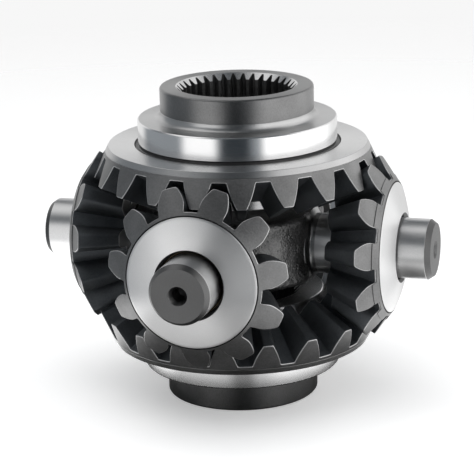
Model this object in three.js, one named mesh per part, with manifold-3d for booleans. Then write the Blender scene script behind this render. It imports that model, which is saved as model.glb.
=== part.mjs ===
// Four-pinion bevel differential gear assembly, in millimetres.
// Z is the axis of the two side gears, X and Y are the trunnions of the spider cross,
// and the origin is the point where all the gear axes meet: the apex of every pitch cone.
import * as THREE from "three";
import { mergeVertices } from "three/addons/utils/BufferGeometryUtils.js";
import Module from "manifold-3d";

const wasm = await Module();
wasm.setup();

const degrees = (angle) => (angle * Math.PI) / 180;

// ---------------------------------------------------------------- driving dimensions

const SIDE_TEETH = 20;
const PINION_TEETH = 11;
const PRESSURE_ANGLE = degrees(22.5);
const MESH_DISTANCE = 67; // cone distance at which the tooth sizes below are stated
const TOE_DISTANCE = 44.5; // cone distance of the side gear teeth's inner ends
const SIDE_TOOTH_THICKNESS = 8.05; // along the pitch circle, at the mesh distance
const BACKLASH = 0.45;

const HUB_RADIUS = 31.8;
const HUB_END = 65.65; // height of the hub's end face above the pinion axes
const JOURNAL_RADIUS = 41.3;
const JOURNAL_TOP = 52.6;
const THRUST_HEIGHT = 41.9;
const THRUST_INNER = 43.7;
const THRUST_OUTER = 53.7;
const RIM_RADIUS = 55; // the turned rim ends here and the forged tooth ends begin
const RIM_HEIGHT = 39.4;
const SIDE_HEEL_RADIUS = 60; // over the tips of the side gears' teeth
const SIDE_INNER_FACE = 21; // clears the spider's block
const SIDE_INNER_RADIUS = 34.8;

const SPLINE_COUNT = 36;
const SPLINE_ROOT_RADIUS = 24.8;
const SPLINE_TIP_RADIUS = 22.6;
const SPLINE_LEAD = 2.6; // the chamfer that cuts the splines' ends back

const DOME_RADIUS = 71.5; // the pinions' spherical backs are centred on the origin
const DOME_MIDDLE_RADIUS = 20.5;
const DOME_EDGE_RADIUS = 26.8;
const PINION_HEEL_RADIUS = 37.5; // over the tips of the pinions' teeth
const PINION_INNER_FACE = 43.7; // a flat that cuts off hub and teeth alike
const PINION_MOUTH = 0.9; // the chamfer at the outer end of the bore

const TRUNNION_RADIUS = 12.5;
const TRUNNION_END = 83.5;
const RUNNING_GAP = 0.1;
const BUSH_WALL = 0.8;
const PRESSED_GAP = 0.2;
const BUSH_LENGTH = 22;

const BLOCK_RADIUS = 35.6;
const BLOCK_FLAT = 33.3; // distance of the four flats that the trunnions stand on
const BLOCK_HALF_HEIGHT = 15;
const BLOCK_CHAMFER = 2;

// Cone angles, each measured from the gear's own axis.
const PINION_PITCH = Math.atan(PINION_TEETH / SIDE_TEETH);
const PINION_CONES = { pitch: PINION_PITCH, tip: degrees(32.7), root: degrees(23.8) };
const SIDE_CONES = { pitch: Math.PI / 2 - PINION_PITCH, tip: degrees(64.9), root: degrees(55.7) };

const FLANK_STEPS = 2;
const ROUND_SIDES = 32;
const SIDE_SIDES = SIDE_TEETH * 2;
const PINION_SIDES = PINION_TEETH * 3;

// ---------------------------------------------------------------- solids and meshes

function toSolid(geometry) {
  const bare = geometry.clone();
  bare.deleteAttribute("normal");
  bare.deleteAttribute("uv");
  const merged = mergeVertices(bare, 1e-4);
  const mesh = new wasm.Mesh({
    numProp: 3,
    vertProperties: Float32Array.from(merged.attributes.position.array),
    triVerts: Uint32Array.from(merged.index.array),
  });
  return new wasm.Manifold(mesh);
}

// The cuts leave spare vertices on flat faces, which are cleared away first.
function toGeometry(solid) {
  const mesh = solid.asOriginal().simplify(1e-3).getMesh();
  const geometry = new THREE.BufferGeometry();
  geometry.setAttribute("position", new THREE.BufferAttribute(mesh.vertProperties, 3));
  geometry.setIndex(new THREE.BufferAttribute(mesh.triVerts, 1));
  geometry.computeVertexNormals();
  return geometry;
}

// A body of revolution about Z. The outline is a list of [radius, height], in order round
// the section, anticlockwise seen with the radius to the right and the height up.
function revolve(outline, sides) {
  const points = outline.map(([radius, height]) => new THREE.Vector2(radius, height));
  if (outline[0][0] > 0) points.push(points[0].clone());
  return new THREE.LatheGeometry(points, sides).rotateX(Math.PI / 2);
}

function extrude(outline, bottom, top) {
  const shape = new THREE.Shape(outline.map(([x, y]) => new THREE.Vector2(x, y)));
  const geometry = new THREE.ExtrudeGeometry(shape, { depth: top - bottom, bevelEnabled: false });
  return geometry.translate(0, 0, bottom);
}

const polar = (radius, angle) => [radius * Math.cos(angle), radius * Math.sin(angle)];

// ---------------------------------------------------------------- bevel gear teeth

const involute = (angle) => Math.tan(angle) - angle;
const CIRCULAR_PITCH = (2 * Math.PI * MESH_DISTANCE * Math.sin(SIDE_CONES.pitch)) / SIDE_TEETH;

// Half the angle that a tooth spans about the gear's axis, on the cone at the given angle.
// It is the involute of the equivalent spur gear, laid out on the back cone.
function halfToothAngle(cone, pitch, thickness) {
  const pitchRadius = MESH_DISTANCE * Math.tan(pitch);
  const baseRadius = pitchRadius * Math.cos(PRESSURE_ANGLE);
  const radius = pitchRadius + MESH_DISTANCE * Math.tan(cone - pitch);
  const pressure = Math.acos(Math.min(1, baseRadius / radius));
  const spread = thickness / (2 * pitchRadius) + involute(PRESSURE_ANGLE) - involute(pressure);
  return spread / Math.cos(pitch);
}

// The toothed cone. Every flank runs to the apex, so the outline shrinks with the height.
function toothedCone(teeth, cones, thickness, firstTooth, bottom, top) {
  const outline = [];
  for (let tooth = 0; tooth < teeth; tooth++) {
    const centre = firstTooth + (tooth * 2 * Math.PI) / teeth;
    for (const side of [-1, 1]) {
      for (let step = 0; step <= FLANK_STEPS; step++) {
        const share = (side < 0 ? step : FLANK_STEPS - step) / FLANK_STEPS;
        const cone = cones.root + (cones.tip - cones.root) * share;
        const half = halfToothAngle(cone, cones.pitch, thickness);
        outline.push(polar(top * Math.tan(cone), centre + side * half));
      }
    }
  }
  const geometry = extrude(outline, bottom, top);
  const position = geometry.attributes.position;
  for (let i = 0; i < position.count; i++) {
    const scale = position.getZ(i) / top;
    position.setXY(i, position.getX(i) * scale, position.getY(i) * scale);
  }
  return toSolid(geometry);
}

// Where a cone has the given radius, and where it meets the circle of the teeth's toes.
const heelPoint = (cone, radius) => [radius, radius / Math.tan(cone)];
const toePoint = (cone) => [TOE_DISTANCE * Math.sin(cone), TOE_DISTANCE * Math.cos(cone)];

// ---------------------------------------------------------------- side gears

function splines(bottom, top) {
  const pitch = (2 * Math.PI) / SPLINE_COUNT;
  const halfGrooveAtRoot = 0.1 * pitch;
  const halfGrooveAtTip = 0.34 * pitch;
  const outline = [];
  for (let groove = 0; groove < SPLINE_COUNT; groove++) {
    const centre = groove * pitch;
    outline.push(polar(SPLINE_TIP_RADIUS, centre - halfGrooveAtTip));
    outline.push(polar(SPLINE_ROOT_RADIUS, centre - halfGrooveAtRoot));
    outline.push(polar(SPLINE_ROOT_RADIUS, centre + halfGrooveAtRoot));
    outline.push(polar(SPLINE_TIP_RADIUS, centre + halfGrooveAtTip));
  }
  return toSolid(extrude(outline, bottom, top));
}

// The upper side gear, teeth down. The lower one is the same gear turned over.
function sideGear() {
  const edge = 1.2;
  const fillet = 2.4;
  const relief = 1.3; // width and depth of the groove between the journal and the thrust face
  const blank = revolve(
    [
      [0, SIDE_INNER_FACE],
      [SIDE_INNER_RADIUS, SIDE_INNER_FACE],
      toePoint(SIDE_CONES.root),
      toePoint(SIDE_CONES.tip),
      heelPoint(SIDE_CONES.tip, SIDE_HEEL_RADIUS),
      [RIM_RADIUS, RIM_HEIGHT],
      [THRUST_OUTER, THRUST_HEIGHT],
      [THRUST_INNER, THRUST_HEIGHT],
      [THRUST_INNER - relief, THRUST_HEIGHT - relief],
      [JOURNAL_RADIUS - relief, THRUST_HEIGHT],
      [JOURNAL_RADIUS, THRUST_HEIGHT + relief],
      [JOURNAL_RADIUS, JOURNAL_TOP],
      [HUB_RADIUS + fillet, JOURNAL_TOP],
      [HUB_RADIUS, JOURNAL_TOP + fillet],
      [HUB_RADIUS, HUB_END - edge],
      [HUB_RADIUS - edge, HUB_END],
      [0, HUB_END],
    ],
    SIDE_SIDES,
  );
  const past = 1; // how far a cutter runs past the face it cuts
  const mouth = revolve(
    [
      [0, HUB_END - SPLINE_LEAD],
      [SPLINE_TIP_RADIUS, HUB_END - SPLINE_LEAD],
      [SPLINE_TIP_RADIUS + SPLINE_LEAD + past, HUB_END + past],
      [0, HUB_END + past],
    ],
    SPLINE_COUNT,
  );
  const thickness = SIDE_TOOTH_THICKNESS - BACKLASH / 2;
  return toothedCone(SIDE_TEETH, SIDE_CONES, thickness, 0, SIDE_INNER_FACE - past, HUB_END + past)
    .intersect(toSolid(blank))
    .subtract(splines(SIDE_INNER_FACE - past, HUB_END + past))
    .subtract(toSolid(mouth));
}

// ---------------------------------------------------------------- pinions and their bushes

const BUSH_BORE = TRUNNION_RADIUS + RUNNING_GAP;
const BUSH_RADIUS = BUSH_BORE + BUSH_WALL;
const PINION_BORE = BUSH_RADIUS + PRESSED_GAP;

// A pinion about Z with its back up, its first tooth towards -Y.
function pinion() {
  const mouth = PINION_BORE + PINION_MOUTH;
  const domeHeight = (radius) => Math.sqrt(DOME_RADIUS ** 2 - radius ** 2);
  const dome = [DOME_EDGE_RADIUS, DOME_MIDDLE_RADIUS, mouth].map((radius) => [radius, domeHeight(radius)]);
  const blank = revolve(
    [
      [PINION_BORE, PINION_INNER_FACE],
      [PINION_INNER_FACE * Math.tan(PINION_CONES.tip), PINION_INNER_FACE],
      heelPoint(PINION_CONES.tip, PINION_HEEL_RADIUS),
      ...dome,
      [PINION_BORE, domeHeight(mouth) - PINION_MOUTH],
    ],
    PINION_SIDES,
  );
  const thickness = CIRCULAR_PITCH - SIDE_TOOTH_THICKNESS - BACKLASH / 2;
  const past = 1;
  return toothedCone(
    PINION_TEETH,
    PINION_CONES,
    thickness,
    -Math.PI / 2,
    PINION_INNER_FACE - past,
    DOME_RADIUS + past,
  ).intersect(toSolid(blank));
}

// Its outer end is sunk in the pinion's bore, and its inner end is flush with the pinion's.
function bush() {
  return revolve(
    [
      [BUSH_BORE, PINION_INNER_FACE],
      [BUSH_RADIUS, PINION_INNER_FACE],
      [BUSH_RADIUS, PINION_INNER_FACE + BUSH_LENGTH],
      [BUSH_BORE, PINION_INNER_FACE + BUSH_LENGTH],
    ],
    ROUND_SIDES,
  );
}

// ---------------------------------------------------------------- spider cross

// A round drum with a flat where each trunnion leaves it.
function block() {
  const shape = new THREE.Shape();
  const halfFlat = Math.acos(BLOCK_FLAT / BLOCK_RADIUS);
  for (let quarter = 0; quarter < 4; quarter++) {
    const start = (quarter * Math.PI) / 2;
    shape.absarc(0, 0, BLOCK_RADIUS, start + halfFlat, start + Math.PI / 2 - halfFlat);
  }
  const straight = BLOCK_HALF_HEIGHT - BLOCK_CHAMFER;
  const geometry = new THREE.ExtrudeGeometry(shape, {
    depth: 2 * straight,
    curveSegments: 6,
    bevelSegments: 1,
    bevelThickness: BLOCK_CHAMFER,
    bevelSize: BLOCK_CHAMFER,
    bevelOffset: -BLOCK_CHAMFER,
  });
  return toSolid(geometry.translate(0, 0, -straight));
}

// A shaft about Z right through the block, whose two ends are trunnions with centre holes.
function shaft() {
  const chamferRadial = 1.6;
  const chamferAxial = 2.3;
  const sinkRadius = 3.6;
  const sinkDepth = 1.7;
  const drillRadius = 2.6;
  const drillDepth = 9;
  const end = [
    [TRUNNION_RADIUS, TRUNNION_END - chamferAxial],
    [TRUNNION_RADIUS - chamferRadial, TRUNNION_END],
    [sinkRadius, TRUNNION_END],
    [drillRadius, TRUNNION_END - sinkDepth],
    [drillRadius, TRUNNION_END - drillDepth],
    [0, TRUNNION_END - drillDepth - drillRadius],
  ];
  const otherEnd = end.map(([radius, height]) => [radius, -height]).reverse();
  return revolve([...otherEnd, ...end], ROUND_SIDES);
}

function spider() {
  const alongY = toSolid(shaft().rotateX(Math.PI / 2));
  const alongX = toSolid(shaft().rotateX(Math.PI / 2).rotateZ(Math.PI / 2));
  return block().add(alongY).add(alongX);
}

// ---------------------------------------------------------------- materials and assembly

const steel = (color, roughness, metalness) =>
  new THREE.MeshStandardMaterial({ color, roughness, metalness });
const groundSteel = () => steel(0xb9bcbe, 0.3, 1.0);
const forgedSteel = () => steel(0x55575b, 0.5, 0.9);
const bronze = () => steel(0x7d6440, 0.45, 0.9);

function piece(name, geometry, material) {
  const mesh = new THREE.Mesh(geometry, material);
  mesh.name = name;
  return mesh;
}

const assembly = new THREE.Group();
assembly.add(piece("spider_cross", toGeometry(spider()), groundSteel()));

// A tooth of the upper gear stands over each trunnion, and a gap of the lower one under it.
const sideGearGeometry = toGeometry(sideGear());
const upper = piece("upper_side_gear", sideGearGeometry, forgedSteel());
const lower = piece("lower_side_gear", sideGearGeometry, forgedSteel());
lower.rotation.set(Math.PI, 0, Math.PI / SIDE_TEETH, "ZYX");
assembly.add(upper, lower);

// On each arm the pinion lies back outwards, its first tooth down in the lower gear's gap.
const pinionGeometry = toGeometry(pinion());
const bushGeometry = bush();
const arms = { front: 0, right: 90, back: 180, left: 270 };
for (const [side, turn] of Object.entries(arms)) {
  const gear = piece(`pinion_${side}`, pinionGeometry, forgedSteel());
  const lining = piece(`pinion_bush_${side}`, bushGeometry, bronze());
  const arm = new THREE.Group();
  arm.rotation.set(Math.PI / 2, 0, degrees(turn), "ZYX");
  arm.add(gear, lining);
  assembly.add(arm);
}

export default assembly;
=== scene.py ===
from math import acos, atan, cos, pi, radians, sin, sqrt, tan

import bmesh
import bpy
import numpy as np
from mathutils import Euler, Matrix, Vector, noise


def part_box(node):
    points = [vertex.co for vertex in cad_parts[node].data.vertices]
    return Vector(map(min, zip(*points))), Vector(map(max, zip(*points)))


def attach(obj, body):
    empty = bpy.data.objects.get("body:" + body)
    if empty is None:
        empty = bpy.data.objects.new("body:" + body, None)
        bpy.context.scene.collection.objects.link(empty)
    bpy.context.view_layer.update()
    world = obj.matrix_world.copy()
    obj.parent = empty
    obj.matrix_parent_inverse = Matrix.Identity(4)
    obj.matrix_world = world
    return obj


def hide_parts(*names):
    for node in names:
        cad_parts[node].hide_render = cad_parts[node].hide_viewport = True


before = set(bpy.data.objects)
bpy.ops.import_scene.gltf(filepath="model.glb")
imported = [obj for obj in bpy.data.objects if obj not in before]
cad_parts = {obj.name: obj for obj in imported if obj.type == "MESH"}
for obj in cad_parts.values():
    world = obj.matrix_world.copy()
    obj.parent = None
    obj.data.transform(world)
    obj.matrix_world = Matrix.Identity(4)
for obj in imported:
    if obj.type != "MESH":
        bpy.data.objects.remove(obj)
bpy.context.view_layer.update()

# The differential gear set, in millimetres until a mesh is made. Every piece is built about
# its own Z axis and then turned into place, and the origin is the apex of all the gears.
MM = 0.001

# ---------------------------------------------------------------- dimensions

SIDE_TEETH = 20
PINION_TEETH = 11
PRESSURE_ANGLE = radians(22.5)
MESH_DISTANCE = 67.0
TOE_DISTANCE = 44.5
SIDE_THICKNESS = 8.05
BACKLASH = 0.45

PINION_PITCH = atan(PINION_TEETH / SIDE_TEETH)
SIDE_CONES = {"pitch": pi / 2 - PINION_PITCH, "tip": radians(64.9), "root": radians(55.7)}
PINION_CONES = {"pitch": PINION_PITCH, "tip": radians(32.7), "root": radians(23.8)}
CIRCULAR_PITCH = 2 * pi * MESH_DISTANCE * sin(SIDE_CONES["pitch"]) / SIDE_TEETH

HUB_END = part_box("upper_side_gear")[1].z / MM
SIDE_INNER_FACE = 21.0
SIDE_INNER_RADIUS = 34.8
BOSS_FOOT = (36.2, 25.2)  # radius and height where the inner boss meets the teeth's ends
SIDE_HEEL_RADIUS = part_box("upper_side_gear")[1].x / MM
HUB_RADIUS = 31.8
HUB_STEP = 0.12  # how much wider than the hub its shoulder starts
SHOULDER_FILLET = 2.8
JOURNAL_RADIUS = 41.3
JOURNAL_TOP = 52.6
THRUST_HEIGHT = 41.9
THRUST_INNER = 42.9
THRUST_OUTER = 53.7
RELIEF_WIDTH = 0.6  # of the groove between the journal and the thrust face
RELIEF_DEPTH = 0.9
RIM = (55.0, 39.4)  # radius and height where the turned band meets the forged tooth ends

SPLINES = 36
SPLINE_ROOT = 24.8
SPLINE_TIP = 22.6
SPLINE_MOUTH = SPLINE_ROOT + 0.4
SPLINE_INNER_MOUTH = SPLINE_MOUTH + 0.4

DOME_RADIUS = 71.5
DOME_EDGE = 26.75
PINION_HEEL_RADIUS = 37.5
PINION_INNER_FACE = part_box("pinion_right")[0].x / MM
BUSH_LOW, BUSH_HIGH = (corner.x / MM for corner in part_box("pinion_bush_right"))
BUSH_BORE = 12.6
BUSH_RADIUS = 13.4
PINION_BORE = 13.6
PINION_MOUTH = 14.5
STEP_RADIUS = 30.2  # of the fine turned step on the teeth's outer ends
STEP_HEIGHT = 0.3

TRUNNION_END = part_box("spider_cross")[1].x / MM
BLOCK_HALF_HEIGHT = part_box("spider_cross")[1].z / MM
TRUNNION_RADIUS = 12.5
BLOCK_RADIUS = 35.6
BLOCK_FLAT = 33.3
BLOCK_EDGE = 3.0
FORGED_MARGIN = 0.25  # what the block's rough skin may stand out by
NECK_COLLAR = 2.5
END_CHAMFER = (1.6, 2.3)  # of the trunnions, along the radius and along the axis
DRILL_RADIUS = 2.7

EDGE = 0.28  # rounding of the teeth's edges
ROUND_POINTS = 96  # points round a plain turned part


# ---------------------------------------------------------------- outlines


def rounded(corners):
    """The (radius, height) points of an open outline whose corners (r, z, rounding) are arcs."""
    points = []
    for i, (r, z, rounding) in enumerate(corners):
        corner = np.array((r, z), float)
        if rounding == 0 or i in (0, len(corners) - 1):
            points.append(corner)
            continue
        before = np.array(corners[i - 1][:2], float) - corner
        after = np.array(corners[i + 1][:2], float) - corner
        before, after = before / np.linalg.norm(before), after / np.linalg.norm(after)
        half = np.arccos(np.clip(before @ after, -1, 1)) / 2
        reach = rounding / tan(half)
        centre = corner + (before + after) / np.linalg.norm(before + after) * rounding / sin(half)
        start, end = corner + before * reach - centre, corner + after * reach - centre
        steps = max(2, round((pi - 2 * half) / radians(15)))
        for step in range(steps + 1):
            share = step / steps
            turn = (pi - 2 * half) * share
            side = np.sign(start[0] * end[1] - start[1] * end[0])
            x = start[0] * cos(turn) - side * start[1] * sin(turn)
            y = start[1] * cos(turn) + side * start[0] * sin(turn)
            points.append(centre + (x, y))
    return points


def resampled(line, count, bend_weight):
    """The line with that many points, set closer together where it bends."""
    step = np.diff(line, axis=0)
    length = np.hypot(step[:, 0], step[:, 1])
    heading = np.unwrap(np.arctan2(step[:, 1], step[:, 0]))
    bend = np.abs(np.diff(heading, prepend=heading[0]))
    bend = np.convolve(bend, np.ones(5) / 5, mode="same")
    along = np.concatenate(([0], np.cumsum(length + bend_weight * bend)))
    wanted = np.linspace(0, along[-1], count)
    return np.column_stack([np.interp(wanted, along, line[:, k]) for k in (0, 1)])


def softened(line, rounds):
    """The line with its corners worn round; the ends stay."""
    line = line.copy()
    for _ in range(rounds):
        line[1:-1] = (line[:-2] + 2 * line[1:-1] + line[2:]) / 4
    return line


def involute(angle):
    return tan(angle) - angle


class Teeth:
    """The outline of a bevel gear's teeth, as cone angles and azimuths round the gear.

    It is drawn as the equivalent spur gear at MESH_DISTANCE and then wrapped on the cones.
    """

    def __init__(self, teeth, cones, thickness, first, per_tooth, tip_wear, root_wear):
        self.teeth, self.cones, self.first = teeth, cones, first
        self.pitch_radius = MESH_DISTANCE * tan(cones["pitch"])
        base = self.pitch_radius * cos(PRESSURE_ANGLE)
        half_space = thickness / (2 * self.pitch_radius) + involute(PRESSURE_ANGLE)

        def half_angle(radius):
            pressure = np.arccos(min(1, base / radius))
            return half_space - involute(pressure)

        def radius_at(cone):
            return self.pitch_radius + MESH_DISTANCE * tan(cone - cones["pitch"])

        tip, root = radius_at(cones["tip"]), radius_at(cones["root"])
        half_pitch = pi / teeth * cos(cones["pitch"])
        bottom = [(root, angle) for angle in np.linspace(half_pitch, half_angle(root), 12)]
        flank = [(radius, half_angle(radius)) for radius in np.linspace(root, tip, 40)]
        top = [(tip, angle) for angle in np.linspace(half_angle(tip), 0, 12)]
        half = bottom + flank[1:-1] + top
        polar = [(r, -a) for r, a in half] + [(r, a) for r, a in reversed(half[:-1])]
        line = np.array([(r * sin(a), r * cos(a)) for r, a in polar])
        line = resampled(line, 400, 0)
        height = (np.hypot(line[:, 0], line[:, 1]) - root) / (tip - root)
        share = np.clip(height * 2 - 0.5, 0, 1)[:, None]
        line = softened(line, root_wear) * (1 - share) + softened(line, tip_wear) * share
        self.line = resampled(line, per_tooth + 1, 1.2)
        step = np.gradient(self.line, axis=0)
        normal = np.column_stack((step[:, 1], -step[:, 0]))
        self.inward = normal / np.linalg.norm(normal, axis=1)[:, None]

    def outline(self, inset=0.0):
        """(cone angles, azimuths) once round the gear, drawn in from the surface by inset."""
        line = self.line + self.inward * inset
        radius = np.hypot(line[:, 0], line[:, 1])
        angle = np.arctan2(line[:, 0], line[:, 1]) / cos(self.cones["pitch"])
        cone = self.cones["pitch"] + np.arctan((radius - self.pitch_radius) / MESH_DISTANCE)
        cone, angle = cone[:-1], angle[:-1]
        turns = [self.first + tooth * 2 * pi / self.teeth for tooth in range(self.teeth)]
        return np.tile(cone, self.teeth), np.concatenate([angle + turn for turn in turns])

    def even(self):
        """As many azimuths as the outline has, evenly spread from the same first one."""
        count = (len(self.line) - 1) * self.teeth
        return self.first - pi / self.teeth + np.arange(count) * 2 * pi / count


# ---------------------------------------------------------------- skins


class Skin:
    """A closed surface, made of rings of points joined by strips of faces."""

    def __init__(self):
        self.points, self.faces, self.finishes = [], [], []

    def ring(self, radius, angle, height):
        radius, angle, height = np.broadcast_arrays(radius, angle, height)
        start = len(self.points)
        columns = (radius * np.cos(angle), radius * np.sin(angle), height)
        self.points.extend(np.column_stack(columns).tolist())
        return list(range(start, len(self.points)))

    def circle(self, angles, radius, height):
        return self.ring(np.full(len(angles), float(radius)), angles, float(height))

    def on_cone(self, cone, angle, distance):
        return self.ring(distance * np.sin(cone), angle, distance * np.cos(cone))

    def strip(self, a, b, finish):
        for i in range(len(a)):
            j = (i + 1) % len(a)
            self.faces.append((a[i], a[j], b[j], b[i]))
            self.finishes.append(finish)

    def strips(self, rings, finish):
        for a, b in zip(rings, rings[1:]):
            self.strip(a, b, finish)

    def stitch(self, a, b, finish):
        """Joins two rings with different numbers of points, which start at about one azimuth."""
        i = j = 0
        while i < len(a) or j < len(b):
            if j * len(a) > i * len(b):
                face = (a[i % len(a)], a[(i + 1) % len(a)], b[j % len(b)])
                i += 1
            else:
                face = (a[i % len(a)], b[(j + 1) % len(b)], b[j % len(b)])
                j += 1
            self.faces.append(face)
            self.finishes.append(finish)

    def cap(self, ring, height, finish):
        centre = len(self.points)
        self.points.append([0.0, 0.0, float(height)])
        for i, start in enumerate(ring):
            self.faces.append((start, ring[(i + 1) % len(ring)], centre))
            self.finishes.append(finish)

    def to_object(self, name, materials, sharp_degrees=32):
        mesh = bpy.data.meshes.new(name)
        mesh.from_pydata([[c * MM for c in p] for p in self.points], [], self.faces)
        mesh.polygons.foreach_set("material_index", [materials.index(f) for f in self.finishes])
        bm = bmesh.new()
        bm.from_mesh(mesh)
        bmesh.ops.remove_doubles(bm, verts=bm.verts, dist=2e-6)
        bmesh.ops.recalc_face_normals(bm, faces=bm.faces)
        for edge in bm.edges:
            edge.smooth = edge.calc_face_angle(0) < radians(sharp_degrees)
        for face in bm.faces:
            face.smooth = True
        bm.to_mesh(mesh)
        bm.free()
        piece = bpy.data.objects.new(name, mesh)
        bpy.context.scene.collection.objects.link(piece)
        for finish in materials:
            mesh.materials.append(MATERIALS[finish])
        normals = piece.modifiers.new("even_normals", "WEIGHTED_NORMAL")
        normals.keep_sharp = True
        return piece


def line_distance(a, b):
    """For cone angles: the distance from the apex to the line through (r, z) points a and b."""
    across = (b[1] - a[1], a[0] - b[0])
    level = across[0] * a[0] + across[1] * a[1]
    return lambda cone: level / (across[0] * np.sin(cone) + across[1] * np.cos(cone))


def tooth_rings(skin, teeth, heel, toe, heel_base, toe_base, step_cone=None):
    """The toothed surface, from the circle heel_base over the teeth to the circle toe_base.

    heel and toe give the distance of the teeth's end faces from the apex, and each base is
    the cone angle of the circle on that end face below the roots. With a step_cone, the heel's
    end face is turned STEP_HEIGHT proud up to there.
    """
    even = teeth.even()
    toe_scale = toe(teeth.cones["pitch"]) / MESH_DISTANCE

    def blended(inset, base, share, distance, lift=0.0):
        cone, angle = teeth.outline(inset)
        cone = base + (cone - base) * share
        angle = even + (angle - even) * share
        return skin.on_cone(cone, angle, distance(cone) + lift)

    def rolled(end, turn, scale):
        cone, angle = teeth.outline(EDGE * (1 - sin(turn)) / scale)
        setback = EDGE * (1 - cos(turn))
        distance = heel(cone) - setback if end == "heel" else toe(cone) + setback
        return skin.on_cone(cone, angle, distance)

    quarter = [radians(turn) for turn in (0, 30, 60, 90)]
    if step_cone is None:
        heel_face = [blended(EDGE, heel_base, share, heel) for share in (0, 0.35, 0.7, 0.94)]
    else:
        most = 0.94
        step = np.minimum(most, (step_cone - heel_base) / (teeth.outline(EDGE)[0] - heel_base))
        heel_face = [blended(EDGE, heel_base, step * k, heel, STEP_HEIGHT) for k in (0, 0.5, 1)]
        for k in (0, 0.5, 1):
            heel_face.append(blended(EDGE, heel_base, step + (most - step) * k, heel))
    heel_edge = [rolled("heel", turn, 1) for turn in quarter]
    toe_edge = [rolled("toe", turn, toe_scale) for turn in reversed(quarter)]
    toe_face = [blended(EDGE / toe_scale, toe_base, share, toe) for share in (0.9, 0.5, 0)]
    cone, angle = teeth.outline()
    flanks = []
    for share in (0.25, 0.5, 0.75):
        flanks.append(skin.on_cone(cone, angle, heel(cone) * (1 - share) + toe(cone) * share))
    skin.strips([*heel_face, heel_edge[0]], "forged")
    # The edges' brighter colour is partly wear and partly a painted highlight.
    skin.strips(heel_edge, "burr")
    # The flanks' darker colour is partly painted shade between the teeth.
    skin.strips([heel_edge[-1], *flanks, toe_edge[0]], "flank")
    skin.strips(toe_edge, "burr")
    skin.strips([toe_edge[-1], *toe_face], "forged")
    return heel_face[0], toe_face[-1]


# ---------------------------------------------------------------- side gear

SIDE_FINISHES = [
    "forged", "flank", "burr", "satin", "spline", "turned", "turned_dull", "ground", "relief",
]


def spline_outline(points):
    """(radii, azimuths) once round the splined bore."""
    pitch = 2 * pi / SPLINES
    corners = [
        (SPLINE_ROOT, -0.5 * pitch),
        (SPLINE_ROOT, -0.4 * pitch),
        (SPLINE_TIP, -0.16 * pitch),
        (SPLINE_TIP, 0.16 * pitch),
        (SPLINE_ROOT, 0.4 * pitch),
        (SPLINE_ROOT, 0.5 * pitch),
    ]
    corners = [(r, a + pitch / 2) for r, a in corners]
    line = np.array([(r * cos(a), r * sin(a)) for r, a in corners])
    line = softened(resampled(line, 160, 0), 12)
    line = resampled(line, points + 1, 0.5)[:-1]
    radius, angle = np.hypot(line[:, 0], line[:, 1]), np.arctan2(line[:, 1], line[:, 0])
    turns = [tooth * pitch for tooth in range(SPLINES)]
    return np.tile(radius, SPLINES), np.concatenate([angle + turn for turn in turns])


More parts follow.
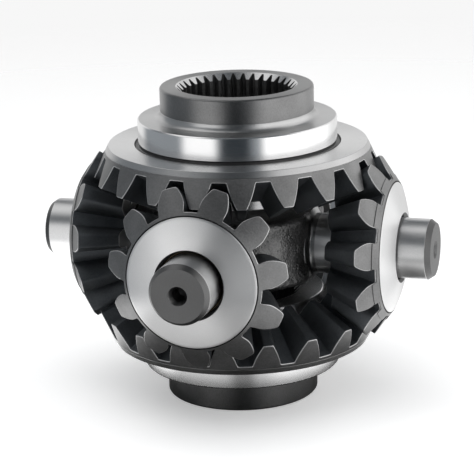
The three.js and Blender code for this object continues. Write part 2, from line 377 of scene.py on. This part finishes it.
def side_gear(name):
    skin = Skin()
    thickness = SIDE_THICKNESS - BACKLASH / 2
    teeth = Teeth(SIDE_TEETH, SIDE_CONES, thickness, 0, 40, 14, 30)
    even = teeth.even()
    tip = SIDE_CONES["tip"]
    heel = line_distance(RIM, (SIDE_HEEL_RADIUS, SIDE_HEEL_RADIUS / tan(tip)))
    toe_tip = (TOE_DISTANCE * sin(tip), TOE_DISTANCE * cos(tip))
    root = SIDE_CONES["root"]
    toe = line_distance((TOE_DISTANCE * sin(root), TOE_DISTANCE * cos(root)), toe_tip)
    rim_cone = atan(RIM[0] / RIM[1])
    outer, inner = tooth_rings(skin, teeth, heel, toe, rim_cone, radians(54.9))

    # The inner face, from the teeth's toes to the splines.
    wall = [skin.circle(even, r, z) for r, z in rounded([
        (*BOSS_FOOT, 0), (SIDE_INNER_RADIUS, SIDE_INNER_FACE, 0.7), (30.5, SIDE_INNER_FACE, 0),
    ])]
    skin.strips([inner, wall[0]], "forged")
    skin.strips(wall, "turned")
    bore_radius, bore_angle = spline_outline(12)
    inner_mouth = skin.circle(bore_angle, SPLINE_INNER_MOUTH, SIDE_INNER_FACE)
    skin.stitch(wall[-1], inner_mouth, "turned")

    # The splined bore, with a chamfer at each end that cuts the splines back.
    low = skin.ring(bore_radius, bore_angle, SIDE_INNER_FACE + SPLINE_INNER_MOUTH - bore_radius)
    middle = skin.ring(bore_radius, bore_angle, np.full(len(bore_radius), 42.0))
    high = skin.ring(bore_radius, bore_angle, HUB_END - SPLINE_MOUTH + bore_radius)
    mouth = skin.circle(bore_angle, SPLINE_MOUTH, HUB_END)
    skin.strip(inner_mouth, low, "turned")
    skin.strips([low, middle, high], "spline")
    skin.strip(high, mouth, "turned")

    # The hub, the journal and the thrust face, all turned.
    hub = [skin.circle(even, r, z) for r, z in rounded([
        (SPLINE_MOUTH + 1.0, HUB_END, 0), (HUB_RADIUS, HUB_END, 1.0),
        (HUB_RADIUS, JOURNAL_TOP + 3.2, 0),
    ])]
    skin.stitch(mouth, hub[0], "satin")
    skin.strips(hub, "satin")
    shoulder = [skin.circle(even, r, z) for r, z in rounded([
        (HUB_RADIUS + HUB_STEP, JOURNAL_TOP + 3.05, 0),
        (HUB_RADIUS + HUB_STEP, JOURNAL_TOP, SHOULDER_FILLET),
        (JOURNAL_RADIUS - 0.5, JOURNAL_TOP, 0),
    ])]
    skin.strips([hub[-1], *shoulder], "turned_dull")
    journal = [skin.circle(even, r, z) for r, z in rounded([
        (JOURNAL_RADIUS - 0.5, JOURNAL_TOP, 0), (JOURNAL_RADIUS, JOURNAL_TOP - 0.5, 0.2),
        (JOURNAL_RADIUS, THRUST_HEIGHT + 2 * RELIEF_WIDTH, 0),
    ])]
    skin.strips([shoulder[-1], *journal[1:]], "ground")
    relief = [skin.circle(even, r, z) for r, z in rounded([
        (JOURNAL_RADIUS, THRUST_HEIGHT + 2 * RELIEF_WIDTH, 0),
        (JOURNAL_RADIUS - RELIEF_WIDTH, THRUST_HEIGHT + RELIEF_WIDTH, 0.3),
        (JOURNAL_RADIUS - RELIEF_WIDTH, THRUST_HEIGHT - RELIEF_DEPTH, 0.6),
        (THRUST_INNER - 0.5, THRUST_HEIGHT - RELIEF_DEPTH, 0.6),
        (THRUST_INNER, THRUST_HEIGHT, 0),
    ])]
    # The relief groove's dark colour is painted shade.
    skin.strips([journal[-1], *relief[1:]], "relief")
    thrust = [skin.circle(even, r, z) for r, z in rounded([
        (THRUST_INNER, THRUST_HEIGHT, 0), (THRUST_OUTER, THRUST_HEIGHT, 0.25),
        (RIM[0] - 0.1, RIM[1] + 0.25, 0),
    ])]
    half = len(thrust) // 2
    skin.strips([relief[-1], *thrust[1:half + 1]], "turned")
    line = skin.circle(even, RIM[0] - 0.3, RIM[1] + 0.1)
    skin.strips([*thrust[half:], line, outer], "turned_dull")
    return skin.to_object(name, SIDE_FINISHES)


# ---------------------------------------------------------------- pinion and bush

PINION_FINISHES = ["forged", "flank", "burr", "dome", "relief"]


def pinion(name):
    skin = Skin()
    thickness = CIRCULAR_PITCH - SIDE_THICKNESS - BACKLASH / 2
    teeth = Teeth(PINION_TEETH, PINION_CONES, thickness, -pi / 2, 48, 90, 30)
    even = teeth.even()
    tip, root = PINION_CONES["tip"], PINION_CONES["root"]
    edge_height = sqrt(DOME_RADIUS**2 - DOME_EDGE**2)
    ring_edge = (DOME_EDGE + 0.5, edge_height - 0.55)
    heel_edge = (PINION_HEEL_RADIUS, PINION_HEEL_RADIUS / tan(tip))
    heel = line_distance(ring_edge, heel_edge)
    base = atan(ring_edge[0] / ring_edge[1])

    def toe(cone):
        return PINION_INNER_FACE / np.cos(cone)

    across = (STEP_RADIUS - ring_edge[0]) / (heel_edge[0] - ring_edge[0])
    step_cone = atan(STEP_RADIUS / (ring_edge[1] + (heel_edge[1] - ring_edge[1]) * across))
    outer, inner = tooth_rings(skin, teeth, heel, toe, base, root - radians(1.2), step_cone)

    # The flat inner end, with a chamfer at the bore.
    end = [skin.circle(even, r, z) for r, z in rounded([
        (17, PINION_INNER_FACE, 0), (PINION_BORE + 0.5, PINION_INNER_FACE, 0.2),
        (PINION_BORE, PINION_INNER_FACE + 0.5, 0),
    ])]
    skin.strips([inner, *end], "forged")
    mouth_height = sqrt(DOME_RADIUS**2 - PINION_MOUTH**2)
    chamfer = PINION_MOUTH - PINION_BORE
    bore = [skin.circle(even, PINION_BORE, z) for z in (55, mouth_height - 1.6 * chamfer)]
    mouth = skin.circle(even, PINION_MOUTH, mouth_height)
    # The bore is painted dark as shade round the trunnion.
    skin.strips([end[-1], *bore, mouth], "relief")

    # The turned back: a part of a sphere round the apex.
    start = np.arcsin((PINION_MOUTH + 0.15) / DOME_RADIUS)
    end = np.arcsin(DOME_EDGE / DOME_RADIUS)
    dome = []
    for share in np.linspace(0, 1, 14):
        cone = start + (end - start) * share
        dome.append(skin.circle(even, DOME_RADIUS * sin(cone), DOME_RADIUS * cos(cone)))
    skin.strips([mouth, *dome], "dome")
    step = skin.circle(even, DOME_EDGE + 0.1, edge_height - 0.12)
    groove = skin.circle(even, DOME_EDGE + 0.2, edge_height - 1.0)
    # The dome's rim gets a painted highlight.
    skin.strips([dome[-1], step], "burr")
    # The dark ring round the dome's edge is a painted shade line.
    skin.strips([step, groove, outer], "relief")
    return skin.to_object(name, PINION_FINISHES)


def bush(name):
    skin = Skin()
    angles = np.arange(ROUND_POINTS) * 2 * pi / ROUND_POINTS
    low, high = BUSH_LOW, BUSH_HIGH
    rings = [skin.circle(angles, r, z) for r, z in rounded([
        (BUSH_RADIUS, (low + high) / 2, 0), (BUSH_RADIUS, high, 0.25), (BUSH_BORE, high, 0.25),
        (BUSH_BORE, low, 0.25), (BUSH_RADIUS, low, 0.25), (BUSH_RADIUS, (low + high) / 2, 0),
    ])]
    skin.strips(rings, "bronze")
    return skin.to_object(name, ["bronze"])


# ---------------------------------------------------------------- spider cross

SPIDER_FINISHES = ["block", "neck", "trunnion", "end_face", "drilled"]
ARM_TURNS = [Euler((pi / 2, 0, quarter * pi / 2)) for quarter in range(4)]


def block_outline(inset, count=208):
    """The drum's outline with its four flats, worn round where they meet."""
    half_flat = acos((BLOCK_FLAT - inset) / (BLOCK_RADIUS - inset))
    points = []
    for corner in range(4):
        middle = radians(45 + 90 * corner)
        reach = pi / 4 - half_flat
        for turn in np.linspace(middle - reach, middle + reach, 40):
            points.append(((BLOCK_RADIUS - inset) * cos(turn), (BLOCK_RADIUS - inset) * sin(turn)))
    points.append(points[0])
    line = softened(resampled(np.array(points), 4 * count + 1, 0), 60)
    return resampled(line, count + 1, 0)[:-1]


def block_skin():
    """The forged middle: a drum with flats, soft edges and a rough skin."""
    skin = Skin()
    edge = BLOCK_EDGE
    half = BLOCK_HALF_HEIGHT - FORGED_MARGIN

    def outline_ring(line, z):
        return skin.ring(np.hypot(line[:, 0], line[:, 1]), np.arctan2(line[:, 1], line[:, 0]), z)

    turns = [radians(a) for a in range(18, 91, 18)]
    side = [(0, z) for z in np.linspace(-half + edge, half - edge, 20)]
    upper = [(edge * (1 - cos(t)), half - edge + edge * sin(t)) for t in turns]
    lower = [(inset, -z) for inset, z in reversed(upper)]
    rings = [outline_ring(block_outline(inset), z) for inset, z in [*lower, *side, *upper]]
    flat = block_outline(edge)
    top, bottom = [rings[-1]], [rings[0]]
    for share in np.linspace(0.9, 0.1, 9):
        top.append(outline_ring(flat * share, half))
        bottom.append(outline_ring(flat * share, -half))
    skin.strips(rings, "block")
    skin.strips(top, "block")
    skin.strips(bottom, "block")
    skin.cap(top[-1], half, "block")
    skin.cap(bottom[-1], -half, "block")
    roughened = []
    for x, y, z in skin.points:
        place = Vector((x, y, z))
        out = Vector((x, y, 0)) / BLOCK_RADIUS + Vector((0, 0, z)) / BLOCK_HALF_HEIGHT
        out.normalize()
        dent = noise.noise(place * 0.11) * 0.4 + noise.noise(place * 0.45) * 0.14
        dent += noise.noise(place * 1.3) * 0.05
        roughened.append(list(place + out * (dent - 0.35)))
    skin.points = roughened
    return skin


def arm_skin():
    """One trunnion about Z, from inside the block to its centre-drilled end."""
    skin = Skin()
    angles = np.arange(128) * 2 * pi / 128
    end = TRUNNION_END
    foot = BLOCK_FLAT - 1.0
    neck = [skin.circle(angles, r, z) for r, z in rounded([
        (TRUNNION_RADIUS + NECK_COLLAR, 24, 0), (TRUNNION_RADIUS + NECK_COLLAR, foot, 0),
        (TRUNNION_RADIUS, foot + 1.4, 1.6), (TRUNNION_RADIUS, foot + 3.2, 0),
    ])]
    barrel = [skin.circle(angles, r, z) for r, z in rounded([
        (TRUNNION_RADIUS, 41, 0), (TRUNNION_RADIUS, 58, 0),
        (TRUNNION_RADIUS, end - END_CHAMFER[1], 0.3), (TRUNNION_RADIUS - END_CHAMFER[0], end, 0),
    ])]
    face = [skin.circle(angles, r, z) for r, z in rounded([
        (TRUNNION_RADIUS - END_CHAMFER[0], end, 0), (3.9, end, 0.2), (3.4, end - 0.9, 0),
        (DRILL_RADIUS, end - 2.1, 0.2), (DRILL_RADIUS, end - 9, 0), (0.4, end - 10.8, 0),
    ])]
    skin.cap(neck[0], 24, "neck")
    skin.strips(neck, "neck")
    skin.strips([neck[-1], *barrel[:-1]], "trunnion")
    skin.strips([*barrel[-2:], *face[1:3]], "end_face")
    # The centre hole's dark colour is painted shade.
    skin.strips(face[2:], "drilled")
    skin.cap(face[-1], end - 11, "drilled")
    return skin


def spider(name):
    """The block and its four arms, joined into one closed surface."""
    body = block_skin().to_object(name, SPIDER_FINISHES, 60)
    arms = arm_skin()
    one = np.array(arms.points)
    count = len(one)
    points, faces, finishes = [], [], []
    for quarter in range(4):
        turn = np.array(ARM_TURNS[quarter].to_matrix())
        points.extend((one @ turn.T).tolist())
        faces.extend(tuple(i + quarter * count for i in face) for face in arms.faces)
        finishes.extend(arms.finishes)
    arms.points, arms.faces, arms.finishes = points, faces, finishes
    cutter = arms.to_object("arms", SPIDER_FINISHES)
    for piece in (body, cutter):
        piece.modifiers.clear()
    join = body.modifiers.new("join", "BOOLEAN")
    join.operation, join.solver, join.object = "UNION", "EXACT", cutter
    bpy.context.view_layer.update()
    graph = bpy.context.evaluated_depsgraph_get()
    joined = bpy.data.meshes.new_from_object(body.evaluated_get(graph))
    body.modifiers.clear()
    body.data = joined
    bpy.data.objects.remove(cutter)
    normals = body.modifiers.new("even_normals", "WEIGHTED_NORMAL")
    normals.keep_sharp = True
    return body


# ---------------------------------------------------------------- materials


def add_node(tree, kind, inputs=(), **properties):
    """Adds a node. Each of its inputs is linked to a socket or set to a value."""
    node = tree.nodes.new(kind)
    for key, value in properties.items():
        setattr(node, key, value)
    for socket, value in dict(inputs).items():
        if isinstance(value, bpy.types.NodeSocket):
            tree.links.new(value, node.inputs[socket])
        else:
            node.inputs[socket].default_value = value
    return node


def opaque(colour):
    return colour if isinstance(colour, bpy.types.NodeSocket) else (*colour, 1)


class Recipe:
    """A node material being put together."""

    def __init__(self, name, **settings):
        self.material = bpy.data.materials.new(name)
        self.material.use_nodes = True
        self.tree = self.material.node_tree
        self.shader = self.tree.nodes["Principled BSDF"]
        for socket, value in settings.items():
            self.shader.inputs[socket.replace("_", " ")].default_value = value
        self.place = self.add("ShaderNodeTexCoord").outputs["Object"]

    def add(self, kind, inputs=(), **properties):
        return add_node(self.tree, kind, inputs, **properties)

    def link(self, value, socket):
        self.tree.links.new(value, self.shader.inputs[socket])

    def math(self, operation, a, b=0.0):
        return self.add("ShaderNodeMath", {0: a, 1: b}, operation=operation).outputs[0]

    def noise(self, vector, scale, detail=2.0, w=None):
        inputs = {"Vector": vector, "Scale": scale, "Detail": detail}
        if w is None:
            return self.add("ShaderNodeTexNoise", inputs).outputs["Fac"]
        inputs["W"] = w
        return self.add("ShaderNodeTexNoise", inputs, noise_dimensions="4D").outputs["Fac"]

    def length(self, vector):
        node = self.add("ShaderNodeVectorMath", {0: vector}, operation="LENGTH")
        return node.outputs["Value"]

    def sum_of(self, a, share, b):
        """That share of a, and the rest of b."""
        first, second = self.math("MULTIPLY", a, share), self.math("MULTIPLY", b, 1 - share)
        return self.math("ADD", first, second)

    def spread(self, value, low, high, to_low, to_high):
        inputs = {"Value": value, 1: low, 2: high, 3: to_low, 4: to_high}
        return self.add("ShaderNodeMapRange", inputs).outputs[0]

    def around(self, scale, wander):
        """A place that changes across the turned lines and hardly along them."""
        parts = self.add("ShaderNodeSeparateXYZ", {0: self.place}).outputs
        flat = self.add("ShaderNodeCombineXYZ", {0: parts[0], 1: parts[1]}).outputs[0]
        radius = self.length(flat)
        unit = self.add("ShaderNodeVectorMath", {0: flat}, operation="NORMALIZE").outputs[0]
        compass = self.add("ShaderNodeSeparateXYZ", {0: unit}).outputs
        inputs = {
            0: self.math("MULTIPLY", radius, scale),
            1: self.math("MULTIPLY", parts[2], scale),
            2: self.math("MULTIPLY", compass[0], wander),
        }
        vector = self.add("ShaderNodeCombineXYZ", inputs).outputs[0]
        return vector, self.math("MULTIPLY", compass[1], wander)

    def colour(self, factor, dark, light):
        inputs = {"Factor": factor, "A": opaque(dark), "B": opaque(light)}
        mix = self.add("ShaderNodeMix", inputs, data_type="RGBA")
        self.link(mix.outputs["Result"], "Base Color")

    def bump(self, height, depth):
        """Height runs from 0 to 1, for that depth in metres. Bumps add up."""
        inputs = {"Height": height, "Strength": 1.0, "Distance": depth}
        linked = self.shader.inputs["Normal"].links
        if linked:
            inputs["Normal"] = linked[0].from_socket
        self.link(self.add("ShaderNodeBump", inputs).outputs["Normal"], "Normal")


def turned_steel(name, dark, light, smooth, rough, groove, anisotropy, wander=1.6):
    """Metal cut or ground on a lathe: fine rings, duller and brighter by turns.

    smooth and rough are the least and most roughness, and groove is the rings' depth in metres.
    """
    recipe = Recipe(name, Metallic=1.0, Anisotropic=anisotropy, Anisotropic_Rotation=0.25)
    vector, w = recipe.around(1.0, wander)
    coarse = recipe.noise(vector, 1500.0, 3.0, w)
    fine = recipe.noise(vector, 5200.0, 2.0, w)
    cloud = recipe.noise(recipe.place, 60.0, 3.0)
    streak = recipe.sum_of(coarse, 0.7, cloud)
    recipe.colour(recipe.spread(streak, 0.35, 0.65, 0, 1), dark, light)
    recipe.link(recipe.spread(coarse, 0.3, 0.7, smooth, rough), "Roughness")
    recipe.bump(coarse, groove)
    recipe.bump(fine, groove * 0.35)
    tangent = recipe.add("ShaderNodeTangent", direction_type="RADIAL", axis="Z")
    recipe.link(tangent.outputs[0], "Tangent")
    return recipe.material


def forged_steel(name, dark, light, smooth, rough, grain, depth):
    """Oxidised, shot-blasted metal: cloudy, with fine grain and shallow pits.

    grain is how many grains there are to a metre, and depth is theirs in metres.
    """
    recipe = Recipe(name, Metallic=0.9)
    cloud = recipe.noise(recipe.place, 90.0, 4.0)
    fine = recipe.noise(recipe.place, grain, 3.0)
    pits = recipe.add("ShaderNodeTexVoronoi", {"Vector": recipe.place, "Scale": grain * 0.6})
    mixed = recipe.sum_of(cloud, 0.6, fine)
    recipe.colour(recipe.spread(mixed, 0.35, 0.65, 0, 1), dark, light)
    recipe.link(recipe.spread(fine, 0.3, 0.7, smooth, rough), "Roughness")
    recipe.bump(fine, depth)
    recipe.bump(recipe.spread(pits.outputs[0], 0.0, 0.5, 0, 1), depth * 0.6)
    return recipe.material


def grey(value, warmth=0.0):
    return (value * (1 + warmth), value, value * (1 - warmth))


MATERIALS = {
    "forged": forged_steel("forged_teeth", grey(0.17), grey(0.26), 0.32, 0.44, 1400, 0.00003),
    # Tooth flanks: darker and bluer than the tooth ends, partly the forged oxide and partly
    # painted shade in the gaps between teeth.
    "flank": forged_steel(
        "tooth_flanks_oxide_and_painted_shade", grey(0.1, -0.08), grey(0.16, -0.06), 0.4, 0.55, 1400, 0.00002,
    ),
    # Tooth edges and the domes' rims: brighter partly from wear and partly as a painted highlight
    # along the edges.
    "burr": forged_steel("worn_edges_and_painted_highlight", grey(0.4), grey(0.65), 0.28, 0.42, 2500, 0.00001),
    "satin": turned_steel("satin_hub", grey(0.16), grey(0.31), 0.3, 0.4, 0.000012, 0.5, 0.5),
    "spline": forged_steel("spline_flanks", grey(0.10), grey(0.18), 0.35, 0.5, 900, 0.00001),
    "turned": turned_steel("turned_face", grey(0.62), grey(0.76), 0.24, 0.36, 0.000004, 0.75),
    "turned_dull": turned_steel(
        "turned_shoulder", grey(0.46), grey(0.6), 0.26, 0.38, 0.000004, 0.5,
    ),
    "ground": turned_steel("ground_journal", grey(0.8), grey(0.94), 0.14, 0.22, 0.000002, 0.6),
    # Grooves, the pinions' bores and the ring round each dome: dark as painted shade in the
    # recesses.
    "relief": turned_steel("recess_painted_shade", grey(0.12), grey(0.2), 0.35, 0.5, 0.000006, 0.3),
    "dome": turned_steel("turned_back", grey(0.7), grey(0.84), 0.3, 0.42, 0.000004, 0.88),
    # Bush: bronze, darkened as painted shade inside the pinion's bore.
    "bronze": turned_steel(
        "bronze_darkened_as_shade", (0.05, 0.04, 0.028), (0.09, 0.072, 0.05), 0.4, 0.55, 0.000006, 0.3,
    ),
    "block": forged_steel(
        "forged_block", grey(0.05, -0.02), grey(0.22, 0.01), 0.3, 0.46, 1300, 0.0002,
    ),
    "neck": turned_steel("turned_neck", grey(0.3), grey(0.45), 0.25, 0.4, 0.000006, 0.4),
    "trunnion": turned_steel("ground_trunnion", grey(0.64), grey(0.76), 0.3, 0.4, 0.000003, 0.4),
    "end_face": turned_steel("trunnion_end", grey(0.12), grey(0.17), 0.36, 0.46, 0.000008, 0.3),
    # Centre hole: darkened as painted shade inside the hole.
    "drilled": turned_steel("centre_hole_painted_shade", grey(0.1), grey(0.24), 0.3, 0.42, 0.000012, 0.2),
}

# ---------------------------------------------------------------- the pieces in place


def put(piece, turn, body, node):
    piece.matrix_world = turn.to_4x4()
    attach(piece, body)
    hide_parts(node)
    return piece


put(spider("spider"), Matrix.Identity(3), "spider", "spider_cross")
put(side_gear("side_gear_upper"), Matrix.Identity(3), "upper_gear", "upper_side_gear")
over = Euler((pi, 0, pi / SIDE_TEETH)).to_matrix()
put(side_gear("side_gear_lower"), over, "lower_gear", "lower_side_gear")
for arm, side in enumerate(("front", "right", "back", "left")):
    turn = ARM_TURNS[arm].to_matrix()
    put(pinion(f"bevel_pinion_{side}"), turn, f"{side}_pinion", f"pinion_{side}")
    put(bush(f"bush_{side}"), turn, f"{side}_pinion", f"pinion_bush_{side}")

# ---------------------------------------------------------------- camera, light and floor

CAMERA_DISTANCE = 857.6 * MM
CAMERA_AZIMUTH = radians(17.07)
CAMERA_ELEVATION = radians(16.02)
CAMERA_ROLL = radians(-1.338)
CAMERA_LENS = 154.9
SENSOR_WIDTH = 36
CAMERA_SHIFT = (-0.0063, 0.0013)
BACK = Vector((
    sin(CAMERA_AZIMUTH) * cos(CAMERA_ELEVATION),
    -cos(CAMERA_AZIMUTH) * cos(CAMERA_ELEVATION),
    sin(CAMERA_ELEVATION),
))


def make_camera():
    data = bpy.data.cameras.new("camera")
    data.lens = CAMERA_LENS
    data.sensor_width = SENSOR_WIDTH
    data.shift_x, data.shift_y = CAMERA_SHIFT
    data.clip_start, data.clip_end = 0.05, 50
    camera = bpy.data.objects.new("camera", data)
    roll = Matrix.Rotation(CAMERA_ROLL, 4, "Z")
    facing = (-BACK).to_track_quat("-Z", "Y").to_matrix().to_4x4()
    camera.matrix_world = Matrix.Translation(BACK * CAMERA_DISTANCE) @ facing @ roll
    bpy.context.scene.collection.objects.link(camera)
    bpy.context.scene.camera = camera


# The dark patch of painted shadow under the object on the mirrored bench, in metres, with the
# camera towards -Y, and its brightness.
SHADE_CENTRE = (0, -0.008, 0)
SHADE_RADIUS = 0.074
SHADE = 0.03
BACK_LEFT = (-0.85, 0.53, 0)
BENCH = (0.78, 0.78, 0.78)
BACKDROP = (0.93, 0.93, 0.93)  # what the camera sees behind the floor
WALL = (0.26, 0.28, 0.3)
CEILING = (0.11, 0.12, 0.13)
# Azimuth from the camera's, to the right, then half the width, lowest and highest elevation
# and softness, all in degrees, and the colour. Each one covers those before it.
PANELS = {
    "wall_behind": (180, 46, -28, 28, 9, (0.85, 0.85, 0.85)),
    "overhead": (-112, 50, 44, 100, 9, (1.0, 1.0, 1.0)),
    "right_fill": (84, 54, -20, 52, 10, (1.1, 1.1, 1.1)),
    "right_softbox": (77, 47, -30, 24, 7, (1.4, 1.4, 1.4)),
    "left_softbox": (-45, 21, -28, 25, 7, (1.15, 1.15, 1.15)),
    "front": (-3, 18, -42, 70, 7, (0.03, 0.036, 0.042)),
}


def softbox(name, azimuth, elevation, distance, width, height, watts):
    """A lamp that faces the object and that the steel doesn't mirror.

    Azimuth is from the camera's, to the right.
    """
    data = bpy.data.lights.new(name, "AREA")
    data.shape, data.size, data.size_y, data.energy = "RECTANGLE", width, height, watts
    lamp = bpy.data.objects.new(name, data)
    turn, rise = CAMERA_AZIMUTH + radians(azimuth), radians(elevation)
    away = Vector((sin(turn) * cos(rise), -cos(turn) * cos(rise), sin(rise)))
    lamp.location = away * distance
    lamp.rotation_euler = (-away).to_track_quat("-Z", "Y").to_euler()
    lamp.visible_glossy = False
    bpy.context.scene.collection.objects.link(lamp)


def make_world():
    """A studio of soft panels: wide softboxes left and right, a pale wall behind and a pale
    bench below, and a dark side in front, which the steel shows as dark bands.
    """
    world = bpy.data.worlds.new("studio")
    bpy.context.scene.world = world
    world.use_nodes = True
    tree = world.node_tree
    background = tree.nodes["Background"]

    def add(kind, inputs=(), **properties):
        return add_node(tree, kind, inputs, **properties)

    def maths(operation, *values):
        return add("ShaderNodeMath", dict(enumerate(values)), operation=operation).outputs[0]

    def dot(vector):
        node = add("ShaderNodeVectorMath", {0: direction, 1: vector}, operation="DOT_PRODUCT")
        return node.outputs["Value"]

    def fade(value, low, high, to_low, to_high):
        inputs = {"Value": value, 1: low, 2: high, 3: to_low, 4: to_high}
        return add("ShaderNodeMapRange", inputs, interpolation_type="SMOOTHSTEP").outputs[0]

    def mixed(factor, a, b):
        inputs = {"Factor": factor, "A": opaque(a), "B": opaque(b)}
        return add("ShaderNodeMix", inputs, data_type="RGBA").outputs["Result"]

    direction = add("ShaderNodeTexCoord").outputs["Generated"]
    ahead = Vector((BACK.x, BACK.y, 0)).normalized()
    azimuth = maths("ARCTAN2", dot(Vector((-ahead.y, ahead.x, 0))), dot(ahead))
    elevation = maths("ARCSINE", add("ShaderNodeSeparateXYZ", {0: direction}).outputs[2])
    room = mixed(fade(elevation, radians(-48), radians(-22), 0, 1), BENCH, WALL)
    room = mixed(fade(elevation, radians(22), radians(42), 0, 1), room, CEILING)
    for panel, (at, half_width, low, high, soft, colour) in PANELS.items():
        turned = maths("ABSOLUTE", maths("WRAP", maths("SUBTRACT", azimuth, radians(at)), pi, -pi))
        edge = radians(soft)
        across = fade(turned, radians(half_width) - edge, radians(half_width) + edge, 1, 0)
        over = fade(elevation, radians(low) - edge, radians(low) + edge, 0, 1)
        under = fade(elevation, radians(high) - edge, radians(high) + edge, 1, 0)
        room = mixed(maths("MULTIPLY", across, maths("MULTIPLY", over, under)), room, colour)
    seen = add("ShaderNodeLightPath").outputs["Is Camera Ray"]
    room = mixed(seen, room, BACKDROP)
    tree.links.new(room, background.inputs["Color"])
    background.inputs["Strength"].default_value = 1.0


def round_sheet(name, recipe, radii, drop):
    """A flat round sheet of those rings, lying that many metres below the lower hub."""
    MATERIALS[name] = recipe.material
    skin = Skin()
    angles = np.arange(ROUND_POINTS) * 2 * pi / ROUND_POINTS
    rings = [skin.circle(angles, radius, 0) for radius in radii]
    skin.strips(rings, name)
    skin.cap(rings[-1], 0, name)
    sheet = skin.to_object(name, [name])
    sheet.modifiers.clear()
    sheet.location = (0, 0, -HUB_END * MM - drop)
    return sheet


def make_floor():
    """A pale round floor that fades into the background well away from the object. It glows a
    little, so that it stays near white.
    """
    recipe = Recipe("pale_floor", Roughness=0.9, Emission_Strength=0.36)
    recipe.shader.inputs["Base Color"].default_value = (0.86, 0.86, 0.86, 1)
    recipe.shader.inputs["Emission Color"].default_value = (1, 1, 1, 1)
    recipe.link(recipe.spread(recipe.length(recipe.place), 0.25, 0.9, 1.0, 0.0), "Alpha")
    disc = round_sheet("floor", recipe, (1200, 900, 600, 300, 100), 0.0002)
    disc.visible_glossy = False


def make_painted_bench_reflection():
    """The bench as the steel mirrors it, in metres, a glowing sheet that is a painted reflection:
    black under the object as painted shadow, greyer in front as painted shade, and whitest at the
    left and back. Only mirrored rays see it.
    """
    recipe = Recipe("bench_painted_reflection_and_shadow", Roughness=1.0, Specular_IOR_Level=0.0)
    recipe.shader.inputs["Base Color"].default_value = (0, 0, 0, 1)
    recipe.shader.inputs["Emission Color"].default_value = (1, 1, 1, 1)

    def along(operation, vector):
        inputs = {0: recipe.place, 1: vector}
        return recipe.add("ShaderNodeVectorMath", inputs, operation=operation).outputs["Value"]

    outside = along("DISTANCE", SHADE_CENTRE)
    # painted shadow: the bench turns black within SHADE_RADIUS of SHADE_CENTRE, under the object
    lit = recipe.spread(outside, SHADE_RADIUS, SHADE_RADIUS + 0.01, SHADE, BENCH[0])
    x, y, _ = recipe.add("ShaderNodeSeparateXYZ", {0: recipe.place}).outputs
    from_front = recipe.math("ARCTAN2", x, recipe.math("MULTIPLY", y, -1))
    from_front = recipe.math("ABSOLUTE", from_front)
    # painted shade: the bench is darker straight in front of the object
    beside = recipe.spread(from_front, radians(5), radians(15), 0.45, 1.0)
    # painted reflection: the bench glows brighter towards the back left and the right
    back_left = recipe.spread(along("DOT_PRODUCT", BACK_LEFT), 0.045, 0.075, 1.0, 2.6)
    right = recipe.spread(x, 0.03, 0.06, 1.0, 1.7)
    glow = recipe.math("MULTIPLY", back_left, right)
    lit = recipe.math("MULTIPLY", recipe.math("MULTIPLY", lit, beside), glow)
    recipe.link(lit, "Emission Strength")
    recipe.link(recipe.spread(recipe.length(recipe.place), 0.12, 0.17, 1.0, 0.0), "Alpha")
    painted_bench = round_sheet("bench_painted_reflection_and_shadow", recipe, (260, 180, 90, 60, 30), 0.0004)
    painted_bench.rotation_euler = (0, 0, CAMERA_AZIMUTH)
    painted_bench.visible_camera = painted_bench.visible_diffuse = painted_bench.visible_shadow = False


make_camera()
make_world()
make_floor()
make_painted_bench_reflection()
softbox("bench_light", -20, 80, 1.3, 1.4, 1.4, 12)
bpy.context.scene.view_settings.view_transform = "Standard"
